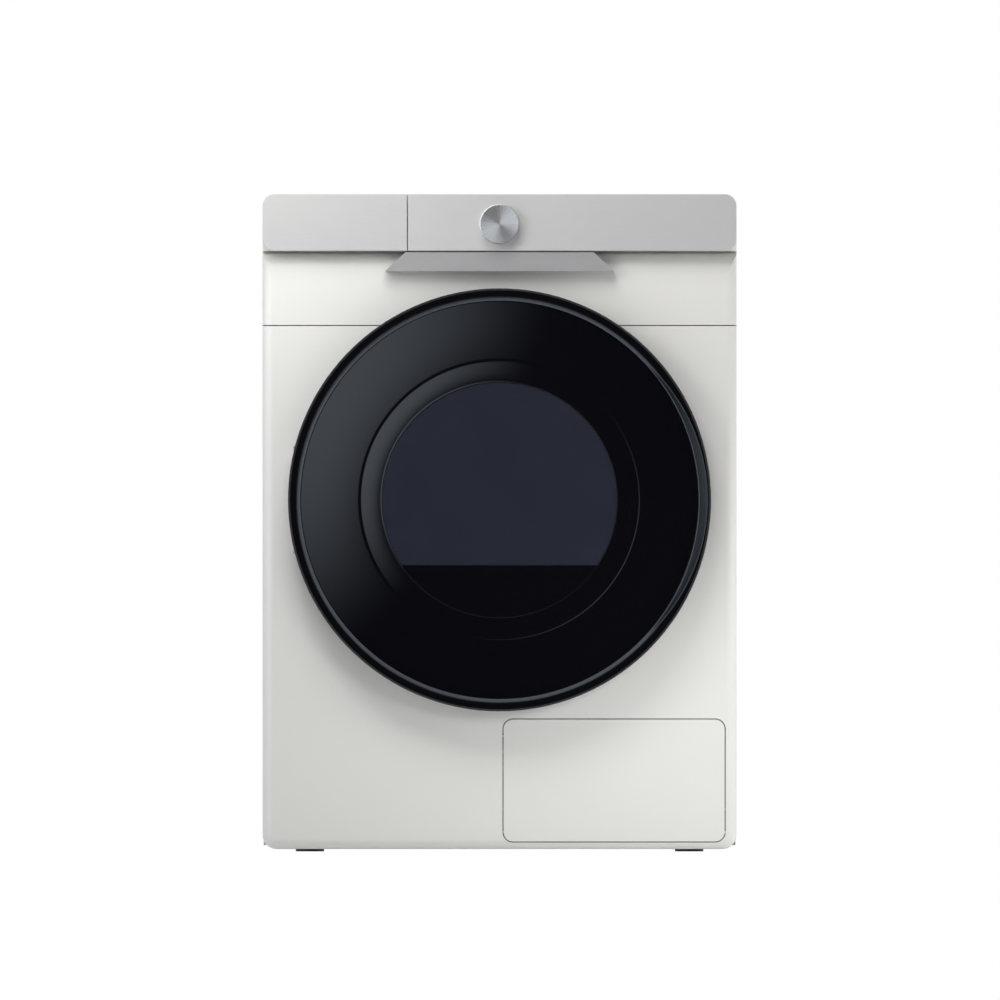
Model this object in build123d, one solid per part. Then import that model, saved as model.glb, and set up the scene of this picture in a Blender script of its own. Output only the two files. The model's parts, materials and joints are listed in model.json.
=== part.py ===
from build123d import *
from math import asin, atan2, cos, degrees, hypot, pi, radians, sin, sqrt
import os

# Front-loading heat-pump clothes dryer, built as an assembly of separate pieces.
# Millimetres. X runs to the right seen from the front, Y runs from front to back, Z is up.
# Everything is drawn with Z = 0 at the underside of the cabinet, and lifted by FOOT_GAP when it is
# exported, so that the floor is Z = 0 in the finished part.

# ---------------------------------------------------------------- driving dimensions
WIDTH = 600.0
CABINET_HEIGHT = 829.0
FOOT_GAP = 3.0
SHEET = 1.0
BOTTOM_CORNER = 18.0
EDGE_ROUND = 12.0
CONSOLE_CORNER = 15.0

HALF_WIDTH = WIDTH / 2
INNER_HALF = HALF_WIDTH - SHEET

# Planes along Y, from the front of the door to the back of the air bulge
DOOR_FRONT = -325.0
CONSOLE_FRONT = -303.0
DOOR_BACK = -281.0
PANEL_FRONT = -279.0
PANEL_BACK = PANEL_FRONT + SHEET
PAN_REAR = -254.0
BULKHEAD_FRONT = -200.0
BULKHEAD_BACK = -196.0
REAR_PANEL_FRONT = 303.0
REAR_PANEL_BACK = 304.2
COVER_REAR = 305.0
BULGE_REAR = 325.0

# Levels above the underside of the cabinet
CONSOLE_HEIGHT = 72.0
CONSOLE_BOTTOM = CABINET_HEIGHT - CONSOLE_HEIGHT
COVER_BOTTOM = 803.0
PANEL_SEAM = 662.7
SEAM_GAP = 1.2
CONSOLE_SEAM_X = -116.5
COVE_HEIGHT = 30.0
COVE_DEPTH = 19.0
COVE_LIP = 2.5

# Drum, and the door and throat in front of it, share one axis
AXIS_Z = 442.0
DRUM_RADIUS = 284.0
NECK_RADIUS = 245.0
DRUM_SHEET = 1.0
DRUM_NECK_FRONT = -190.0
DRUM_SHOULDER = -168.0
DRUM_REAR = 250.0
DRUM_END_PLATE = 244.0
DRUM_SHAFT = 10.0
THROAT_RADIUS = 186.0
THROAT_FLAT = -95.0
THROAT_FRONT = -262.0
FELT_INNER = 237.6

# Door, radii from its centre
DOOR_RADIUS = 267.8
RING_INNER = 256.4
TRIM_INNER = 252.3
STEP_OUTER = 176.6
WINDOW_RADIUS = 149.1
WINDOW_FLAT = -83.2
RING_FRONT = -322.0
TRIM_FRONT = -318.0
BACK_PLATE_INNER = 215.0
HINGE_X = -255.0
HINGE_Y = -303.0
HINGE_PIN_RADIUS = 3.0
EAR_OFFSET = 60.0
EAR_THICKNESS = 10.0
GRIP_CENTRE_X = 31.0
GRIP_RADIUS = 232.7
GRIP_WALL = 1.2
GRIP_FLOOR = -300.0

# Service flap, low on the right
FLAP_LEFT = 5.0
FLAP_RIGHT = 285.0
FLAP_BOTTOM = 9.5
FLAP_TOP = 164.0
FLAP_CORNER = 12.0
FLAP_HINGE_Y = -275.0
FLAP_HINGE_Z = 21.0
FLAP_PIN_RADIUS = 1.5

# Drive
MOTOR_X = -150.0
MOTOR_Z = 92.0
MOTOR_RADIUS = 46.0
SHAFT_RADIUS = 6.0
PULLEY_RADIUS = 9.0
IDLER_X = -58.0
IDLER_Z = 109.0
IDLER_RADIUS = 16.0
ARM_PIVOT_X = -10.0
ARM_PIVOT_Z = 77.0
ARM_STUD = 4.0
BELT_FRONT = -25.0
BELT_REAR = -15.0
BELT_THICKNESS = 2.0
BELT_GAP = 0.3
ROLLER_RADIUS = 30.0
ROLLER_ANGLE = 35.0
ROLLER_PIN = 6.0
ROLLER_X = (NECK_RADIUS + BELT_GAP + ROLLER_RADIUS) * sin(radians(ROLLER_ANGLE))
ROLLER_Z = AXIS_Z - (NECK_RADIUS + BELT_GAP + ROLLER_RADIUS) * cos(radians(ROLLER_ANGLE))

# Water tank, behind the left part of the console
TANK_LEFT = -290.0
TANK_RIGHT = -124.0
TANK_BOTTOM = 763.0
TANK_TOP = 799.0
TANK_REAR = 150.0
TANK_WALL = 3.0

# Knob
KNOB_RADIUS = 25.3
KNOB_Z = 791.0
KNOB_FRONT = -318.0
KNOB_SHAFT = 4.0

# Heat exchanger duct in the base
DUCT_LEFT = 30.0
DUCT_RIGHT = 288.0
DUCT_FRONT = -247.0
DUCT_REAR = 195.0
DUCT_BOTTOM = 50.5
DUCT_TOP = 142.0
DUCT_WALL = 2.5
LEG_LEFT = -250.0
LEG_FRONT = 125.0
OUTLET_LEFT = -242.0
OUTLET_RIGHT = -206.0
SCROLL_RADIUS = 80.0
LATCH_X = (52.0, 266.0)
LATCH_Z = 96.0
LATCH_SHAFT = 5.0
COMPRESSOR_X = -185.0
COMPRESSOR_Y = -115.0

# Lint filter, which drops into the floor of the throat
FILTER_HALF = 110.0
FILTER_FRONT = -232.0
FILTER_REAR = -202.0
FILTER_BOTTOM = 197.0
FILTER_TOP = 346.0
FILTER_WALL = 3.0
POCKET_GAP = 2.0
POCKET_WALL = 3.0
CHUTE_LEFT = 30.0

# Base tray and feet
TRAY_FRONT = -260.5
TRAY_REAR = 300.0
TRAY_TOP = 50.0
TRAY_FLOOR = 4.0
FOOT_X = 240.0
FOOT_FRONT_Y = -225.0
FOOT_REAR_Y = 255.0
FOOT_ROD = 5.0
FOOT_PAD = 18.0
FOOT_POCKET_TOP = 6.0

# Fittings on the rear panel
BULGE_RADIUS = 235.0
BULGE_FACE_RADIUS = 216.0
GLAND_X = 250.0
GLAND_Z = 72.0
GLAND_NECK = 11.0
GLAND_BORE = 4.5
SPIGOT_X = -250.0
SPIGOT_Z = 700.0
SPIGOT_NECK = 11.0
SPIGOT_RADIUS = 9.0

# Pivots turn with this much clearance on the radius
RUNNING_FIT = 0.06


# ---------------------------------------------------------------- shape helpers
def block(x0, x1, y0, y1, z0, z1):
    centre = Pos((x0 + x1) / 2, (y0 + y1) / 2, (z0 + z1) / 2)
    return centre * Box(x1 - x0, y1 - y0, z1 - z0)


def rod_x(y, z, radius, x0, x1):
    return Pos((x0 + x1) / 2, y, z) * Rot(0, 90, 0) * Cylinder(radius, x1 - x0)


def rod_y(x, z, radius, y0, y1):
    return Pos(x, (y0 + y1) / 2, z) * Rot(90, 0, 0) * Cylinder(radius, y1 - y0)


def rod_z(x, y, radius, z0, z1):
    return Pos(x, y, (z0 + z1) / 2) * Cylinder(radius, z1 - z0)


def tube_y(x, z, inner, outer, y0, y1):
    return rod_y(x, z, outer, y0, y1) - rod_y(x, z, inner, y0, y1)


def along_y(sketch, y0, y1):
    """Extrude a front-view outline, drawn in X and Z, from y0 to y1."""
    return extrude(Plane.XZ.offset(-y1) * sketch, amount=y1 - y0)


def turned(points, x=0.0, z=AXIS_Z):
    """Turn a closed outline of (radius, y) points about an axis along Y."""
    outline = make_face(Polyline(*points, close=True))
    return Pos(x, 0, z) * revolve(outline, Axis.Y)


def joined(shapes):
    """Fuse a list of shapes into one."""
    whole = shapes[0]
    for shape in shapes[1:]:
        whole = whole + shape
    return whole


def flat_sided_disc(radius, chord, centre_z=AXIS_Z):
    """A circle cut off straight at the height chord, measured from its centre."""
    half = sqrt(radius**2 - chord**2)
    arc = ThreePointArc((-half, chord), (0, radius), (half, chord))
    return Pos(0, centre_z) * make_face(arc + Line((half, chord), (-half, chord)))


def panel_outline(inset, top):
    """Front view of the cabinet up to the level top: square there, rounded at the bottom corners."""
    outline = Pos(0, (inset + top) / 2) * Rectangle(2 * (HALF_WIDTH - inset), top - inset)
    corners = outline.vertices().group_by(Axis.Y)[0]
    return fillet(corners, BOTTOM_CORNER - inset)


# ---------------------------------------------------------------- cabinet
def console_cove(grow):
    """Space under the console where the painted front rolls back, made larger by grow."""
    front, face, back = PANEL_FRONT - 1, PANEL_FRONT + grow, PANEL_FRONT + COVE_DEPTH + grow
    bottom, top = CONSOLE_BOTTOM - COVE_HEIGHT, CONSOLE_BOTTOM + grow
    lip = CONSOLE_BOTTOM - COVE_LIP - grow
    roll = Bezier((face, bottom), (face, lip), (back, lip))
    rest = Polyline((back, lip), (back, top), (front, top), (front, bottom), (face, bottom))
    return extrude(Plane.YZ.offset(-400) * make_face(roll + rest), amount=800)


def front_pan():
    """The deep-drawn painted front, before it is parted at the seam."""
    outer = along_y(panel_outline(0, COVER_BOTTOM - 0.5), PANEL_FRONT, PAN_REAR)
    inner = along_y(panel_outline(SHEET, COVER_BOTTOM + 5), PANEL_BACK, PAN_REAR + 1)
    front_edges = outer.faces().sort_by(Axis.Y)[0].edges().sort_by(Axis.Z)[:-1]
    outer = fillet(front_edges, EDGE_ROUND)
    inner_edges = inner.faces().sort_by(Axis.Y)[0].edges().sort_by(Axis.Z)[:-1]
    inner = fillet(inner_edges, EDGE_ROUND - SHEET)
    return (outer - console_cove(0)) - (inner - console_cove(SHEET))


def seam_fold(z0, z1):
    """The edge folded back along the seam, which stiffens the panel and closes the slit."""
    return block(-INNER_HALF + EDGE_ROUND, INNER_HALF - EDGE_ROUND, PANEL_BACK, PANEL_BACK + 16, z0, z1)


def upper_front_panel():
    low = PANEL_SEAM + SEAM_GAP / 2
    panel = front_pan() & block(-400, 400, -400, 0, low, 900)
    panel = panel + seam_fold(low, low + SHEET)
    tank_opening = block(TANK_LEFT - 2, TANK_RIGHT + 2, -300, -240, TANK_BOTTOM - 2, TANK_TOP + 2)
    return panel - tank_opening


def lower_front_panel():
    high = PANEL_SEAM - SEAM_GAP / 2
    panel = front_pan() & block(-400, 400, -400, 0, -10, high)
    panel = panel + seam_fold(high - SHEET, high)
    hole = THROAT_RADIUS + 10
    panel = panel - rod_y(0, AXIS_Z, hole, -300, -240)
    panel = panel + tube_y(0, AXIS_Z, hole, hole + SHEET, PANEL_FRONT, -262)
    flap_gap = SEAM_GAP
    flap_size = Rectangle(FLAP_RIGHT - FLAP_LEFT + 2 * flap_gap, FLAP_TOP - FLAP_BOTTOM + 2 * flap_gap)
    flap_hole = fillet(flap_size.vertices(), FLAP_CORNER + flap_gap)
    flap_hole = Pos((FLAP_LEFT + FLAP_RIGHT) / 2, (FLAP_BOTTOM + FLAP_TOP) / 2) * flap_hole
    panel = panel - along_y(flap_hole, -300, -260)
    for side in (-1, 1):
        ear_z = AXIS_Z + side * EAR_OFFSET
        panel = panel - block(HINGE_X - 6, HINGE_X + 6, -300, -260, ear_z - 8, ear_z + 8)
    return panel - block(222, 237, -300, -260, AXIS_Z - 6, AXIS_Z + 6)


def side_panel(side):
    """One wrap-round side: the wall, the curl under the base, and the flanges front and back."""
    front = PAN_REAR + 0.5
    sheet = panel_outline(0, COVER_BOTTOM) - panel_outline(SHEET, COVER_BOTTOM)
    strip = Pos(side * (HALF_WIDTH - 15), 400) * Rectangle(40, 900)
    wall = along_y(sheet & strip, front, REAR_PANEL_FRONT)
    x0, x1 = sorted((side * INNER_HALF, side * (INNER_HALF - 4)))
    front_flange = block(x0, x1, front, front + SHEET, TRAY_TOP + 1, COVER_BOTTOM)
    x0, x1 = sorted((side * INNER_HALF, side * (INNER_HALF - 24)))
    rear_flange = block(x0, x1, REAR_PANEL_FRONT - SHEET, REAR_PANEL_FRONT, BOTTOM_CORNER, COVER_BOTTOM)
    panel = wall + front_flange + rear_flange
    for x, z in screw_points():
        if x * side > 0:
            panel = panel - rod_y(x, z, 2.0, 290, 310)
    return panel


def screw_points():
    return [(side * 288.0, z) for side in (-1, 1) for z in (60.0, 280.0, 500.0, 720.0)]


def rear_panel():
    plate = block(-298.5, 298.5, REAR_PANEL_FRONT, REAR_PANEL_BACK, 5, COVER_BOTTOM - 0.5)
    hole = rod_y(0, AXIS_Z, BULGE_RADIUS, 300, 310)
    bulge = turned(
        [
            (BULGE_RADIUS, REAR_PANEL_FRONT),
            (BULGE_FACE_RADIUS, BULGE_REAR - SHEET),
            (0, BULGE_REAR - SHEET),
            (0, BULGE_REAR),
            (BULGE_FACE_RADIUS + SHEET, BULGE_REAR),
            (BULGE_RADIUS + 1.4 * SHEET, REAR_PANEL_BACK),
            (BULGE_RADIUS + 1.4 * SHEET, REAR_PANEL_FRONT),
        ]
    )
    panel = plate - hole + bulge
    panel = panel - rod_y(GLAND_X, GLAND_Z, GLAND_NECK + 0.2, 290, 310)
    panel = panel - rod_y(SPIGOT_X, SPIGOT_Z, SPIGOT_NECK + 0.2, 290, 310)
    for x, z in screw_points():
        panel = panel - rod_y(x, z, 2.0, 290, 310)
    for row in range(5):
        z = 90 + 14 * row
        for x in (-60, 0, 60, 120, 180):
            panel = panel - block(x - 24, x + 24, 290, 310, z, z + 5)
    return panel


def cover_outline(inset, bottom):
    """Front view of the top cover, rounded at its two upper corners."""
    top = CABINET_HEIGHT - inset
    outline = Pos(0, (bottom + top) / 2) * Rectangle(WIDTH - 2 * inset, top - bottom)
    return fillet(outline.vertices().group_by(Axis.Y)[-1], CONSOLE_CORNER - inset)


def top_cover():
    """Pressed cover with a turned-down rim all round."""
    wall = 2 * SHEET
    cover = along_y(cover_outline(0, COVER_BOTTOM), PANEL_FRONT, COVER_REAR)
    return cover - along_y(cover_outline(wall, COVER_BOTTOM - 5), PANEL_FRONT + wall, COVER_REAR - wall)


def panel_screws():
    screws = []
    for x, z in screw_points():
        head = rod_y(x, z, 4.0, REAR_PANEL_BACK, REAR_PANEL_BACK + 2.4)
        slot = block(x - 2.8, x + 2.8, REAR_PANEL_BACK + 1.2, REAR_PANEL_BACK + 3, z - 0.6, z + 0.6)
        cross = block(x - 0.6, x + 0.6, REAR_PANEL_BACK + 1.2, REAR_PANEL_BACK + 3, z - 2.8, z + 2.8)
        screws.append(head + rod_y(x, z, 1.8, REAR_PANEL_BACK - 12, REAR_PANEL_BACK) - slot - cross)
    return joined(screws)


def foot_points():
    return {
        "front_left_foot": (-FOOT_X, FOOT_FRONT_Y),
        "front_right_foot": (FOOT_X, FOOT_FRONT_Y),
        "rear_left_foot": (-FOOT_X, FOOT_REAR_Y),
        "rear_right_foot": (FOOT_X, FOOT_REAR_Y),
    }


def foot(x, y):
    """A levelling foot: round pad, hexagonal collar for a spanner, and rod up into the tray."""
    pad = rod_z(x, y, FOOT_PAD, -FOOT_GAP, -FOOT_GAP + 4)
    pad = chamfer(pad.edges().sort_by(Axis.Z)[-1], 1)
    collar = Pos(x, y, -FOOT_GAP + 4) * extrude(RegularPolygon(9, 6), 3)
    return pad + collar + rod_z(x, y, FOOT_ROD, -FOOT_GAP + 4, 34)


def base_tray():
    """Moulded floor with a rim, bosses for the feet, and cheeks that hold the flap's pins."""
    half = HALF_WIDTH - 2.5
    low = SHEET + 0.2
    rim = 4
    tray = block(-half, half, TRAY_FRONT, TRAY_REAR, low, TRAY_TOP)
    lower_sides = [edge for edge in tray.edges().filter_by(Axis.Y) if edge.center().Z < low + 1]
    tray = fillet(lower_sides, BOTTOM_CORNER - 2)
    y0, y1 = TRAY_FRONT + rim, TRAY_REAR - rim
    tray = tray - block(-half + rim, half - rim, y0, y1, BOTTOM_CORNER, TRAY_TOP + 5)
    tray = tray - block(-half + BOTTOM_CORNER, half - BOTTOM_CORNER, y0, y1, TRAY_FLOOR, TRAY_TOP)
    for x, y in foot_points().values():
        tray = tray + rod_z(x, y, 11, low, 40) + rod_z(x, y, FOOT_PAD + 5, low, FOOT_POCKET_TOP + 4)
    for x0, x1 in ((0.4, FLAP_LEFT - 1), (FLAP_RIGHT + 1, 289.6)):
        tray = tray + block(x0, x1, -276.8, TRAY_FRONT + 1, 12, FLAP_HINGE_Z + 8)
    tray = tray - rod_x(FLAP_HINGE_Y, FLAP_HINGE_Z, FLAP_PIN_RADIUS + RUNNING_FIT, -5, 295)
    for x, y in foot_points().values():
        tray = tray - rod_z(x, y, FOOT_ROD + RUNNING_FIT, -20, 60)
        tray = tray - rod_z(x, y, FOOT_PAD + 2, -20, FOOT_POCKET_TOP)
    return tray


# ---------------------------------------------------------------- bulkheads and throat
def front_bulkhead():
    """Front plate round the throat, with the felt's carrier ring and the roller pins."""
    plate = block(-INNER_HALF, INNER_HALF, BULKHEAD_FRONT, BULKHEAD_BACK, 170, CONSOLE_BOTTOM + 1)
    plate = plate - along_y(flat_sided_disc(THROAT_RADIUS + 3.2, THROAT_FLAT - 3.2), -300, -100)
    plate = plate + tube_y(0, AXIS_Z, 232, FELT_INNER, BULKHEAD_BACK, DRUM_NECK_FRONT + 18)
    for side in (-1, 1):
        plate = plate + rod_y(side * ROLLER_X, ROLLER_Z, ROLLER_PIN, BULKHEAD_BACK, -168)
        plate = plate + rod_y(side * ROLLER_X, ROLLER_Z, 9, BULKHEAD_BACK, -192.6)
    return plate


def door_throat():
    """Moulded way into the drum, with the pocket for the lint filter and the air chute under it."""
    throat = flat_sided_disc(THROAT_RADIUS, THROAT_FLAT)
    throat_outside = flat_sided_disc(THROAT_RADIUS + 3, THROAT_FLAT - 3)
    tunnel = along_y(throat_outside - throat, THROAT_FRONT, BULKHEAD_BACK)
    apron = along_y(Pos(0, AXIS_Z) * Circle(THROAT_RADIUS + 3) - throat, THROAT_FRONT, THROAT_FRONT + 4)
    half = FILTER_HALF + POCKET_GAP
    front, rear = FILTER_FRONT - POCKET_GAP, BULKHEAD_FRONT - 0.2
    low = FILTER_BOTTOM - POCKET_GAP - 1
    outer_half, outer_front = half + POCKET_WALL, front - POCKET_WALL
    pocket = block(-outer_half, outer_half, outer_front, rear, low - POCKET_WALL, FILTER_TOP)
    chute = block(CHUTE_LEFT - POCKET_WALL, outer_half, outer_front, rear, DUCT_TOP + 0.2, low)
    moulding = tunnel + apron + pocket + chute
    moulding = moulding - block(-half, half, front, rear + 1, low, FILTER_TOP + 4)
    return moulding - block(CHUTE_LEFT, half, front, rear - POCKET_WALL, DUCT_TOP - 10, low + 1)


def door_seal():
    """Rubber lip ring that the door closes against."""
    return turned([(184, -270), (187, -262), (194, -262), (194, -266), (188.5, -270)])


def drum_front_felt():
    outer = NECK_RADIUS - DRUM_SHEET - BELT_GAP
    return tube_y(0, AXIS_Z, FELT_INNER, outer, DRUM_NECK_FRONT + 2, DRUM_NECK_FRONT + 18)


def rear_bulkhead():
    """Rear plate with the bearing hub, the air slots into the drum and the fan outlet."""
    plate = block(-INNER_HALF, INNER_HALF, 262, 264, TRAY_TOP + 0.5, 790)
    slot = SlotOverall(100, 30)
    for step in range(12):
        radial = Pos(0, AXIS_Z) * Rot(0, 0, 30 * step) * Pos(140, 0) * slot
        plate = plate - along_y(radial, 250, 280)
    plate = plate + tube_y(0, AXIS_Z, 22, 28, 258, 282)
    plate = plate - rod_y(0, AXIS_Z, 22, 250, 290)
    return plate - block(OUTLET_LEFT + 2, OUTLET_RIGHT - 2, 250, 280, 112, 188)


def drum_bearing():
    return tube_y(0, AXIS_Z, DRUM_SHAFT + 0.05, 22, 260, 280)


# ---------------------------------------------------------------- drum


def drum_shell():
    inner = DRUM_RADIUS - DRUM_SHEET
    return turned(
        [
            (NECK_RADIUS - DRUM_SHEET, DRUM_NECK_FRONT),
            (NECK_RADIUS, DRUM_NECK_FRONT),
            (NECK_RADIUS, DRUM_SHOULDER),
            (DRUM_RADIUS, DRUM_SHOULDER + 8),
            (DRUM_RADIUS, DRUM_REAR),
            (inner, DRUM_REAR),
            (inner, DRUM_SHOULDER + 8.6),
            (NECK_RADIUS - DRUM_SHEET, DRUM_SHOULDER + 0.8),
        ]
    )


def drum_rear_wall():
    """Perforated end plate with a pressed hub and the stub shaft welded to it."""
    front, back = DRUM_END_PLATE, DRUM_END_PLATE + 2
    wall = rod_y(0, AXIS_Z, DRUM_RADIUS - DRUM_SHEET, front, back)
    holes = []
    for ring, count in ((70, 12), (100, 18), (130, 24), (160, 30), (190, 36)):
        for step in range(count):
            angle = radians(360 * step / count)
            holes.append(Pos(ring * cos(angle), AXIS_Z + ring * sin(angle)) * Circle(4))
    wall = wall - along_y(Sketch() + holes, front - 1, back + 1)
    hub = rod_y(0, AXIS_Z, 34, back, back + 6)
    return wall + hub + rod_y(0, AXIS_Z, DRUM_SHAFT, back, 284)


def drum_lifters():
    """Three moulded paddles on the inside of the shell."""
    inner = DRUM_RADIUS - DRUM_SHEET
    section = make_face(
        Polyline((-32, -20), (-9, -62), (9, -62), (32, -20), close=True)
    )
    section = fillet(section.vertices().group_by(Axis.Y)[0], 6)
    section = Pos(0, inner) * section
    paddle = extrude(Plane.XZ.offset(-200) * section, amount=320)
    paddle = paddle + extrude(Plane.XZ.offset(-200) * (Pos(0, inner - 14) * Rectangle(64, 40)), amount=320)
    paddle = paddle & rod_y(0, 0, inner, -130, 210)
    lifters = []
    for step in range(3):
        lifters.append(Pos(0, 0, AXIS_Z) * Rot(0, 60 + 120 * step, 0) * paddle)
    return joined(lifters)


def roller(side):
    """Support wheel with a hub and a tyre groove."""
    x = side * ROLLER_X
    wheel = rod_y(x, ROLLER_Z, ROLLER_RADIUS, -192, -172)
    recess = tube_y(x, ROLLER_Z, 12, 23, -193, -188)
    far_recess = tube_y(x, ROLLER_Z, 12, 23, -176, -171)
    return wheel - recess - far_recess - rod_y(x, ROLLER_Z, ROLLER_PIN + RUNNING_FIT, -200, -160)


# ---------------------------------------------------------------- drive
def motor_housing():
    """Motor case on its feet, whose base runs on to the post for the belt's idler arm."""
    body = rod_y(MOTOR_X, MOTOR_Z, MOTOR_RADIUS, 0, 108)
    body = chamfer(body.edges().filter_by(GeomType.CIRCLE), 5)
    for y in (18, 88):
        body = body + block(MOTOR_X - 36, MOTOR_X + 36, y, y + 8, TRAY_FLOOR, MOTOR_Z - 20)
    body = body - rod_y(MOTOR_X, MOTOR_Z, 34, 6, 102)
    body = body - rod_y(MOTOR_X, MOTOR_Z, SHAFT_RADIUS + RUNNING_FIT, -5, 115)
    for step in range(8):
        vent = Pos(MOTOR_X, 0, MOTOR_Z) * Rot(0, 45 * step, 0) * block(-3, 3, -2, 8, 16, 30)
        body = body - vent
    base = block(MOTOR_X - 36, ARM_PIVOT_X + 8, 0, 26, TRAY_FLOOR, TRAY_FLOOR + 8)
    post = block(ARM_PIVOT_X - 8, ARM_PIVOT_X + 8, 0, 8, TRAY_FLOOR, ARM_PIVOT_Z + 8)
    stud = rod_y(ARM_PIVOT_X, ARM_PIVOT_Z, ARM_STUD, -12, 1)
    return body + base + post + stud


def motor_shaft():
    """Shaft with the rotor in the middle and the grooved belt pulley in front."""
    shaft = rod_y(MOTOR_X, MOTOR_Z, SHAFT_RADIUS, -32, 240)
    rotor = rod_y(MOTOR_X, MOTOR_Z, 30, 15, 93)
    pulley = rod_y(MOTOR_X, MOTOR_Z, PULLEY_RADIUS, BELT_FRONT - 3, BELT_REAR + 3)
    rims = rod_y(MOTOR_X, MOTOR_Z, 13, BELT_FRONT - 5, BELT_FRONT - 1)
    rims = rims + rod_y(MOTOR_X, MOTOR_Z, 13, BELT_REAR + 1, BELT_REAR + 5)
    return shaft + rotor + pulley + rims


def fan_impeller():
    wheel = rod_y(MOTOR_X, MOTOR_Z, 66, 234, 237)
    wheel = wheel + rod_y(MOTOR_X, MOTOR_Z, 14, 212, 240)
    wheel = wheel + tube_y(MOTOR_X, MOTOR_Z, 52, 66, 206, 208)
    blades = []
    for step in range(16):
        blade = Pos(54, 0, 0) * Rot(0, -30, 0) * Box(22, 28, 1.6)
        blades.append(Pos(MOTOR_X, 221, MOTOR_Z) * Rot(0, 22.5 * step, 0) * blade)
    wheel = joined([wheel] + blades)
    return wheel - rod_y(MOTOR_X, MOTOR_Z, SHAFT_RADIUS, 200, 250)


def belt_loop(depth):
    """Closed outline of the belt, depth away from its inner face."""
    circles = [
        (0.0, AXIS_Z, DRUM_RADIUS + BELT_GAP + depth),
        (MOTOR_X, MOTOR_Z, PULLEY_RADIUS + BELT_GAP + depth),
        (IDLER_X, IDLER_Z, -(IDLER_RADIUS + BELT_GAP + BELT_THICKNESS - depth)),
    ]
    spans = []
    for index, (x0, z0, r0) in enumerate(circles):
        x1, z1, r1 = circles[(index + 1) % 3]
        heading = atan2(z1 - z0, x1 - x0) - asin((r1 - r0) / hypot(x1 - x0, z1 - z0))
        leave = (x0 + r0 * sin(heading), z0 - r0 * cos(heading))
        arrive = (x1 + r1 * sin(heading), z1 - r1 * cos(heading))
        spans.append((leave, arrive, heading))
    outline = Curve()
    for index, (x, z, r) in enumerate(circles):
        arrive, came = spans[index - 1][1], spans[index - 1][2]
        leave, went = spans[index][0], spans[index][2]
        turn = (went - came) % (2 * pi)
        if turn > pi and r < 0:
            turn = turn - 2 * pi
        middle_heading = came + turn / 2
        middle = (x + r * sin(middle_heading), z - r * cos(middle_heading))
        outline = outline + ThreePointArc(arrive, middle, leave) + Line(*spans[index][:2])
    return make_face(outline)


def drive_belt():
    return along_y(belt_loop(BELT_THICKNESS) - belt_loop(0), BELT_FRONT, BELT_REAR)


def idler_arm():
    """Sprung arm that carries the idler pulley on its pin."""
    arm = rod_y(ARM_PIVOT_X, ARM_PIVOT_Z, 9, -10, -4) + rod_y(IDLER_X, IDLER_Z, 9, -10, -4)
    length = hypot(IDLER_X - ARM_PIVOT_X, IDLER_Z - ARM_PIVOT_Z)
    tilt = degrees(atan2(IDLER_Z - ARM_PIVOT_Z, IDLER_X - ARM_PIVOT_X))
    middle = Pos((IDLER_X + ARM_PIVOT_X) / 2, -7, (IDLER_Z + ARM_PIVOT_Z) / 2)
    arm = arm + middle * Rot(0, -tilt, 0) * Box(length, 6, 13)
    arm = arm + rod_y(IDLER_X, IDLER_Z, 3, -30, -8)
    return arm - rod_y(ARM_PIVOT_X, ARM_PIVOT_Z, ARM_STUD + RUNNING_FIT, -20, 0)


def idler_pulley():
    wheel = rod_y(IDLER_X, IDLER_Z, IDLER_RADIUS, BELT_FRONT - 2, BELT_REAR + 3)
    rims = rod_y(IDLER_X, IDLER_Z, IDLER_RADIUS + 3.5, BELT_FRONT - 3.5, BELT_FRONT - 1.5)
    rims = rims + rod_y(IDLER_X, IDLER_Z, IDLER_RADIUS + 3.5, BELT_REAR + 1.5, BELT_REAR + 3.5)
    return wheel + rims - rod_y(IDLER_X, IDLER_Z, 3 + RUNNING_FIT, -40, 0)


# ---------------------------------------------------------------- heat pump
def duct_body(wall):
    """The duct, the leg to the fan and the fan scroll as one solid, shrunk by a wall thickness."""
    rear, low, high = DUCT_REAR - wall, DUCT_BOTTOM + wall, DUCT_TOP - wall
    main = block(DUCT_LEFT + wall, DUCT_RIGHT - wall, DUCT_FRONT, rear, low, high)
    leg = block(LEG_LEFT + wall, DUCT_LEFT + 10, LEG_FRONT + wall, rear, low, high)
    scroll = rod_y(MOTOR_X, MOTOR_Z, SCROLL_RADIUS - wall, DUCT_REAR + wall, 252 - wall)
    outlet = block(OUTLET_LEFT + wall, OUTLET_RIGHT - wall, 215 + wall, 261.8, MOTOR_Z, 192 - wall)
    return main + leg + scroll + outlet


def heat_exchanger_duct():
    shell = duct_body(0) - duct_body(DUCT_WALL)
    for x, y in ((50, -230), (270, -230), (50, 175), (270, 175), (-110, 155)):
        shell = shell + block(x - 7, x + 7, y - 7, y + 7, TRAY_FLOOR, DUCT_BOTTOM)
    shell = shell - rod_y(MOTOR_X, MOTOR_Z, 42, DUCT_REAR - 6, DUCT_REAR + 5)
    shell = shell - rod_y(MOTOR_X, MOTOR_Z, SHAFT_RADIUS + 2, LEG_FRONT - 2, LEG_FRONT + 5)
    return shell - block(CHUTE_LEFT + 3, 109, -234, BULKHEAD_FRONT - 3.5, DUCT_TOP - 5, DUCT_TOP + 5)


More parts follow.
